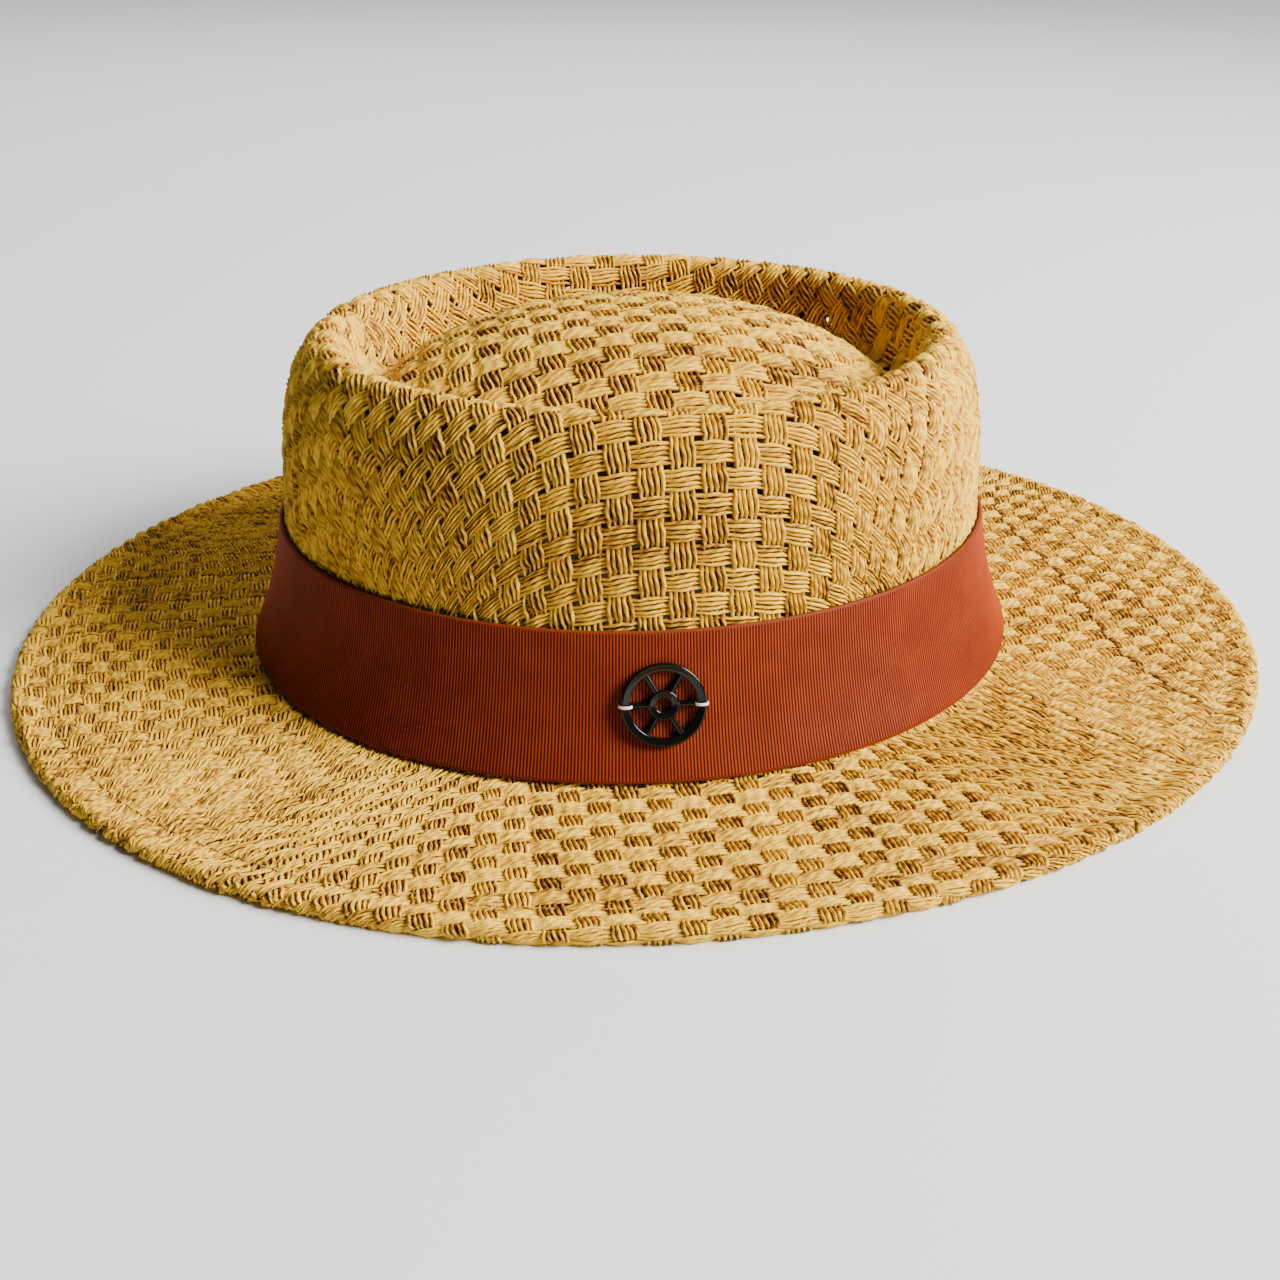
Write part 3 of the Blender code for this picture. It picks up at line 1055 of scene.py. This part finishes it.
@dataclass
class Ribbon:
    """Grosgrain ribbon round the crown: upright ribs between two selvedges, lapped at the far side."""

    form: HatForm
    finish: bpy.types.Material
    rib_pitch: float = 0.80 * MM
    rib_relief: float = 0.20 * MM
    selvedge: float = 0.9 * MM
    lap_width: float = 16 * MM
    lap_lift: float = 0.7 * MM
    lap_turn: float = math.pi / 2
    steps: int = 6
    measured: int = 720
    spaced: int = 4000

    @property
    def rows(self) -> int:
        """Stretches down the ribbon: its own steps and a selvedge at each edge."""
        return self.steps + 2

    def _profile(self, distance: float) -> np.ndarray:
        """Radius and height down the ribbon, moved square to the straw."""
        points = np.array(self.form.flare(self.steps))
        for edge, inside in ((0, 1), (-1, -2)):
            step = points[inside] - points[edge]
            kept = points[edge] + step * self.selvedge / np.linalg.norm(step)
            points = np.insert(points, 1 if edge == 0 else len(points) - 1, kept, axis=0)
        return moved_out(points, distance)

    @property
    def length(self) -> float:
        """Length round the ribbon at its middle."""
        turns = np.linspace(0, FULL_TURN, self.measured + 1)
        middle = self._profile(self.form.ribbon_gap)[self.rows // 2]
        return float(run_length(self.form.plan(np.full_like(turns, middle[0]), turns))[-1])

    @property
    def width(self) -> float:
        """Width of the ribbon along its slant."""
        return float(run_length(self._profile(self.form.ribbon_gap))[-1])

    def _even_turns(self, start: float, end: float, count: int) -> np.ndarray:
        """Turns at even distances round the oval."""
        fine = np.linspace(start, end, self.spaced + 1)
        gone = run_length(self.form.plan(np.full_like(fine, self.form.mean), fine))
        return np.interp(np.linspace(0, gone[-1], count), gone, fine)

    def _wall(self, name: str, turns: np.ndarray, closed: bool, lift: float) -> bpy.types.Object:
        """Closed ribbon wall over the turns, with every other column of its outside on a rib.

        Args:
            name: the piece's name.
            turns: the columns' turns.
            closed: whether the last column meets the first.
            lift: how far the inner side stands off the ribbon's seat.

        Returns:
            The object, with its ribs still flat.
        """
        outer = self._profile(self.form.ribbon_gap + lift + self.form.ribbon_thickness)
        inner = self._profile(self.form.ribbon_gap + lift)
        section = np.vstack([outer, inner[::-1]])
        stations = len(section)
        mesh = bmesh.new()
        rib = mesh.verts.layers.float.new("rib")
        edge = mesh.verts.layers.float.new("selvedge")
        rings = []
        for column, turn in enumerate(turns):
            plan = self.form.plan(section[:, 0], np.full(stations, turn))
            ring = []
            for row in range(stations):
                corner = mesh.verts.new((plan[row, 0], plan[row, 1], section[row, 1]))
                outside = row <= self.rows
                at_edge = row in (0, self.rows)
                # Columns off the ribs are the grooves, which the ribbon finish paints dark as shade
                corner[rib] = 1.0 if outside and not at_edge and column % 2 else 0.0
                corner[edge] = 1.0 if outside and at_edge else 0.0
                ring.append(corner)
            rings.append(ring)
        pairs = list(zip(rings, rings[1:])) + ([(rings[-1], rings[0])] if closed else [])
        for first, second in pairs:
            bridge(mesh, first, second)
        if not closed:
            for ring in (rings[0], rings[-1]):
                mesh.faces.new(ring)
        return shaped(name, mesh, self.finish)

    def _tree(self) -> Tree:
        """Tree that raises the ribs square to the ribbon."""
        tree = Tree("ribbon_ribs", {"Relief": self.rib_relief})
        high = tree.product(tree.named("rib", "FLOAT"), tree.entry["Relief"])
        normal = tree.out("GeometryNodeInputNormal", {}, {})
        offset = tree.out("ShaderNodeVectorMath", {"operation": "SCALE"}, {0: normal, "Scale": high})
        band = tree.entry["Geometry"]
        tree.finish(tree.out("GeometryNodeSetPosition", {}, {"Geometry": band, "Offset": offset}), self.finish)
        return tree

    def pieces(self) -> list[bpy.types.Object]:
        """Builds the ribbon and the lap that covers its join."""
        tree = self._tree()
        ribs = int(self.length / self.rib_pitch)
        turns = self._even_turns(0.0, FULL_TURN, 2 * ribs + 1)[:-1]
        band = self._wall("ribbon", turns, True, 0.0)
        half = self.lap_width / self.form.crown_length
        count = int(self.lap_width / self.rib_pitch) * 2 + 1
        turns = self._even_turns(self.lap_turn - half, self.lap_turn + half, count)
        lap = self._wall("ribbon_lap", turns, False, self.lap_lift)
        return [tree.applied(piece, {"Relief": self.rib_relief}) for piece in (band, lap)]


@dataclass
class Badge:
    """Pierced round badge: a lipped ring, a hub with a hole and six spokes, held by two stitches."""

    form: HatForm
    enamel: bpy.types.Material
    thread: bpy.types.Material
    diameter: float = 20.8 * MM
    thickness: float = 1.5 * MM
    rim_width: float = 2.2 * MM
    hub_diameter: float = 7.6 * MM
    hub_hole: float = 3.6 * MM
    spoke_width: float = 1.6 * MM
    spokes: int = 6
    turn: float = math.radians(-93.0)
    lift: float = 0.8 * MM
    gap: float = 0.3 * MM
    profile_steps: int = 60
    steps: int = 72
    rounding: float = 0.35 * MM
    ring_lip: float = 0.25 * MM
    hub_lip: float = 0.20 * MM
    lip_share: float = 0.45
    spoke_height: float = 0.80
    spoke_ridge: tuple[tuple[float, float], ...] = ((1.0, 0.6), (0.6, 0.92), (0.0, 1.0))
    crisp: float = math.radians(50)
    stitch_radius: float = 0.17 * MM
    stitch_apart: float = 0.18 * MM
    stitch_reach: float = 0.3 * MM
    stitch_height: float = 0.15 * MM
    stitch_depth: float = 0.2 * MM

    def seat(self) -> Matrix:
        """Matrix that lays the badge on the ribbon, as in the CAD model."""
        over_straw = self.form.ribbon_gap + self.form.ribbon_thickness
        outside = moved_out(np.array(self.form.flare(self.profile_steps)), over_straw)
        gone = run_length(outside)
        middle = gone[-1] / 2 - self.lift
        ends = [
            np.array([np.interp(middle + half, gone, outside[:, axis]) for axis in range(2)])
            for half in (-self.diameter / 2, self.diameter / 2)
        ]
        centre = (ends[0] + ends[1]) / 2
        down = (ends[1] - ends[0]) / np.linalg.norm(ends[1] - ends[0])
        turn = np.array(self.turn)
        outward = Vector((*self.form.outward(turn), 0.0))
        face = outward * -down[1] + Vector((0.0, 0.0, down[0]))
        up = outward * -down[0] + Vector((0.0, 0.0, -down[1]))
        plan = self.form.plan(np.array(centre[0]), turn)
        place = Vector((*plan, centre[1])) + face * self.gap
        return Matrix.Translation(place) @ Matrix((up.cross(face), up, face)).transposed().to_4x4()

    def _ring(self, mesh: bmesh.types.BMesh, inner: float, outer: float, lip: float) -> None:
        """Adds a turned ring with rounded corners and a raised lip on its outer side.

        Args:
            mesh: where it goes.
            inner: inner radius.
            outer: outer radius.
            lip: how far the outer side stands over the face.
        """
        off = self.rounding
        soft = self.rounding * 0.3
        top = self.thickness
        low = self.thickness - lip
        shoulder = outer - (outer - inner) * self.lip_share
        section = [
            (inner, off), (inner + off, 0.0), (outer - off, 0.0), (outer, off), (outer, top - off),
            (outer - soft, top - soft), (outer - off, top), (shoulder + off, top), (shoulder, low),
            (inner + off, low), (inner + soft, low - soft), (inner, low - off),
        ]
        rings = []
        for step in range(self.steps):
            angle = FULL_TURN * step / self.steps
            rings.append([
                mesh.verts.new((radius * math.cos(angle), radius * math.sin(angle), height))
                for radius, height in section
            ])
        for ring, after in zip(rings, rings[1:] + rings[:1]):
            bridge(mesh, ring, after)

    def _spoke(self, mesh: bmesh.types.BMesh, angle: float) -> None:
        """Adds one spoke with a ridged top, from the hub to the ring."""
        start = self.hub_diameter / 2 - self.rounding * 2
        end = self.diameter / 2 - self.rim_width + self.rounding * 2
        half = self.spoke_width / 2
        top = self.thickness * self.spoke_height
        right = [(half * share, top * height) for share, height in self.spoke_ridge]
        left = [(-side, height) for side, height in right[-2::-1]]
        section = [(-half, 0.0), (half, 0.0)] + right + left
        turned = Matrix.Rotation(angle, 3, "Z")
        first, second = (
            [mesh.verts.new(turned @ Vector((radius, side, height))) for side, height in section]
            for radius in (start, end)
        )
        bridge(mesh, first, second)
        mesh.faces.new(first)
        mesh.faces.new(second[::-1])

    def _stitch(self, name: str, side: float) -> bpy.types.Object:
        """A loop of thread over one side of the ring.

        Args:
            name: the piece's name.
            side: 1 for the right, -1 for the left.

        Returns:
            The stitch.
        """
        inner = self.diameter / 2 - self.rim_width - self.stitch_reach
        outer = self.diameter / 2 + self.stitch_reach
        top = self.thickness + self.stitch_height
        path = [
            (inner, -self.stitch_depth), (inner, top), (outer - self.stitch_reach, top),
            (outer, -self.stitch_depth),
        ]
        curve = bpy.data.curves.new(name, "CURVE")
        curve.dimensions = "3D"
        curve.bevel_depth = self.stitch_radius
        curve.bevel_resolution = 2
        curve.use_fill_caps = True
        for across in (-self.stitch_apart, self.stitch_apart):
            line = curve.splines.new("BEZIER")
            line.bezier_points.add(len(path) - 1)
            for point, (reach, height) in zip(line.bezier_points, path):
                point.co = (side * reach, across, height)
                point.handle_left_type = "AUTO"
                point.handle_right_type = "AUTO"
        drawn = bpy.data.objects.new(name + "_path", curve)
        bpy.context.collection.objects.link(drawn)
        mesh = bpy.data.meshes.new_from_object(drawn.evaluated_get(bpy.context.evaluated_depsgraph_get()))
        bpy.data.objects.remove(drawn, do_unlink=True)
        mesh.name = name
        mesh.transform(self.seat())
        mesh.shade_smooth()
        mesh.materials.clear()
        mesh.materials.append(self.thread)
        return new_piece(name, mesh)

    def pieces(self) -> list[bpy.types.Object]:
        """Builds the badge and its stitches."""
        mesh = bmesh.new()
        self._ring(mesh, self.diameter / 2 - self.rim_width, self.diameter / 2, self.ring_lip)
        self._ring(mesh, self.hub_hole / 2, self.hub_diameter / 2, self.hub_lip)
        for spoke in range(self.spokes):
            self._spoke(mesh, spoke * FULL_TURN / self.spokes)
        badge = shaped("badge_ornament", mesh, self.enamel)
        badge.data.set_sharp_from_angle(angle=self.crisp)
        badge.data.transform(self.seat())
        return [badge, self._stitch("badge_stitch_left", -1.0), self._stitch("badge_stitch_right", 1.0)]


@dataclass
class HemStitching:
    """Line of small stitches that holds the turned hem, a little inside the brim's edge."""

    surface: Surface
    finish: bpy.types.Material
    inset_point: float = 29.9
    stitch: float = 2.6 * MM
    pitch: float = 4.2 * MM
    radius: float = 0.18 * MM
    proud: float = -0.75 * MM
    steps: int = 360

    def piece(self) -> bpy.types.Object:
        """Builds the stitches along a loop round the brim."""
        turns = np.linspace(0, FULL_TURN, self.steps + 1)[:-1]
        station = np.full_like(turns, self.inset_point * self.surface.BETWEEN)
        points, normals = self.surface.at(station, turns)
        numbers = np.arange(self.steps)
        edges = np.stack([numbers, (numbers + 1) % self.steps], axis=-1)
        piece = new_piece("hem_stitches", line_mesh("hem_stitches", points + normals * self.proud, edges))
        return self._tree().applied(
            piece, {"Pitch": self.pitch, "Length": self.stitch, "Radius": self.radius}
        )

    def _tree(self) -> Tree:
        """Tree that sets a small rounded stitch at each pitch along the loop."""
        tree = Tree("hem_stitches", {"Pitch": self.pitch, "Length": self.stitch, "Radius": self.radius})
        loop = tree.out("GeometryNodeMeshToCurve", {}, {"Mesh": tree.entry["Geometry"]})
        spots = tree.node(
            "GeometryNodeCurveToPoints", {"mode": "LENGTH"}, {"Curve": loop, "Length": tree.entry["Pitch"]}
        ).outputs
        stitch = tree.out(
            "GeometryNodeMeshCylinder",
            {"fill_type": "TRIANGLE_FAN"},
            {"Vertices": 6, "Radius": tree.entry["Radius"], "Depth": tree.entry["Length"]},
        )
        smooth = tree.out("GeometryNodeSetShadeSmooth", {}, {"Geometry": stitch, "Shade Smooth": True})
        placed = tree.out(
            "GeometryNodeInstanceOnPoints",
            {},
            {"Points": spots["Points"], "Instance": smooth, "Rotation": spots["Rotation"]},
        )
        tree.finish(placed, self.finish)
        return tree


@dataclass(frozen=True)
class SoftLight:
    """A square area light that looks at the hat. Its side is in metres and its power in watts."""

    name: str
    place: tuple[float, float, float]
    size: float
    power: float
    colour: tuple[float, float, float]

    def add(self) -> None:
        """Adds the light."""
        data = bpy.data.lights.new(self.name, "AREA")
        data.size = self.size
        data.energy = self.power
        data.color = self.colour
        light = bpy.data.objects.new(self.name, data)
        light.location = self.place
        light.rotation_euler = (-Vector(self.place)).to_track_quat("-Z", "Y").to_euler()
        bpy.context.collection.objects.link(light)


@dataclass
class Stage:
    """Pale seamless floor, soft light from the right and behind, and the photograph's camera."""

    floor_colour: Colour = (0.79, 0.82, 0.835, 1.0)
    floor_roughness: float = 0.85
    floor_size: float = 14.0
    key_from: tuple[float, float, float] = (1.25, -0.60, 1.05)
    key_strength: float = 3.8
    key_softness: float = math.radians(24)
    key_colour: tuple[float, float, float] = (1.0, 0.98, 0.94)
    fill: float = 0.06
    fill_colour: Colour = (0.86, 0.93, 1.0, 1.0)
    lights: tuple[SoftLight, ...] = (
        SoftLight("side", (1.10, -0.47, 0.82), 0.8, 50.0, (1.0, 0.97, 0.92)),
        SoftLight("overhead", (0.10, 1.05, 1.25), 1.4, 16.0, (1.0, 0.99, 0.97)),
    )
    focal: float = 39.85
    sensor: float = 36.0
    distance: float = 0.4311
    elevation: float = math.radians(29.051)
    yaw: float = math.radians(8.504)
    roll: float = math.radians(0.486)
    sideways: float = 0.0020
    aim: tuple[float, float, float] = (-0.00335, 0.0, -0.0086)

    def build(self) -> None:
        """Builds the floor, the lights and the camera."""
        self._floor()
        self._world()
        self._sun()
        for light in self.lights:
            light.add()
        self._camera()

    def _floor(self) -> None:
        """A plane large enough for every view."""
        bpy.ops.mesh.primitive_plane_add(size=self.floor_size)
        floor = bpy.context.object
        floor.name = "stage_floor"
        shader = Shader("stage_floor")
        shader.set(Base_Color=self.floor_colour, Roughness=self.floor_roughness)
        floor.data.materials.append(shader.material)

    def _world(self) -> None:
        """Even pale light from all round."""
        world = bpy.data.worlds.new("stage_world")
        world.use_nodes = True
        back = world.node_tree.nodes["Background"]
        back.inputs["Color"].default_value = self.fill_colour
        back.inputs["Strength"].default_value = self.fill
        bpy.context.scene.world = world

    def _sun(self) -> None:
        """Adds the key, as even as a large window far away."""
        data = bpy.data.lights.new("key", "SUN")
        data.energy = self.key_strength
        data.angle = self.key_softness
        data.color = self.key_colour
        light = bpy.data.objects.new("key", data)
        light.rotation_euler = Vector(self.key_from).to_track_quat("Z", "Y").to_euler()
        bpy.context.collection.objects.link(light)

    def _camera(self) -> None:
        """Adds the camera at the photograph's angle."""
        level = math.cos(self.elevation)
        back = Vector((-math.sin(self.yaw) * level, -math.cos(self.yaw) * level, math.sin(self.elevation)))
        side = Vector((math.cos(self.yaw), -math.sin(self.yaw), 0.0))
        data = bpy.data.cameras.new("camera")
        data.lens = self.focal
        data.sensor_width = self.sensor
        camera = bpy.data.objects.new("camera", data)
        place = Vector(self.aim) + side * self.sideways + back * self.distance
        turned = Matrix.Rotation(self.roll, 3, back) @ back.to_track_quat("Z", "Y").to_matrix()
        camera.matrix_world = Matrix.Translation(place) @ turned.to_4x4()
        bpy.context.collection.objects.link(camera)
        bpy.context.scene.camera = camera


def hand_over(piece: bpy.types.Object) -> None:
    """Rides a finished piece on the hat and logs it."""
    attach(piece, ROOT)
    LOG.info("%s: %d faces", piece.name, len(piece.data.polygons))


def main() -> None:
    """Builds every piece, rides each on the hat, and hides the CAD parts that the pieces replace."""
    logging.basicConfig(level=logging.INFO, format="%(name)s: %(message)s")
    Stage().build()
    form = HatForm()
    surface = Surface(form)
    straw = StrawFinish().make()
    tan = ThreadFinish("straw_thread", (0.42, 0.21, 0.04, 1.0)).make()

    for piece in StrawWeave(surface, straw).pieces():
        hand_over(piece)
        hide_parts("woven_body")
    hand_over(HemStitching(surface, tan).piece())

    ribbon = Ribbon(form, RibbonFinish().make())
    band, lap = ribbon.pieces()
    for piece in (band, lap):
        hand_over(piece)
    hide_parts("ribbon_band")
    ribbon.width
    ribbon.length

    white = ThreadFinish("badge_thread", (0.80, 0.78, 0.74, 1.0)).make()
    badge = Badge(form, EnamelFinish().make(), white).pieces()
    for piece in badge:
        hand_over(piece)
    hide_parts("badge")


if __name__ == "__main__":
    main()
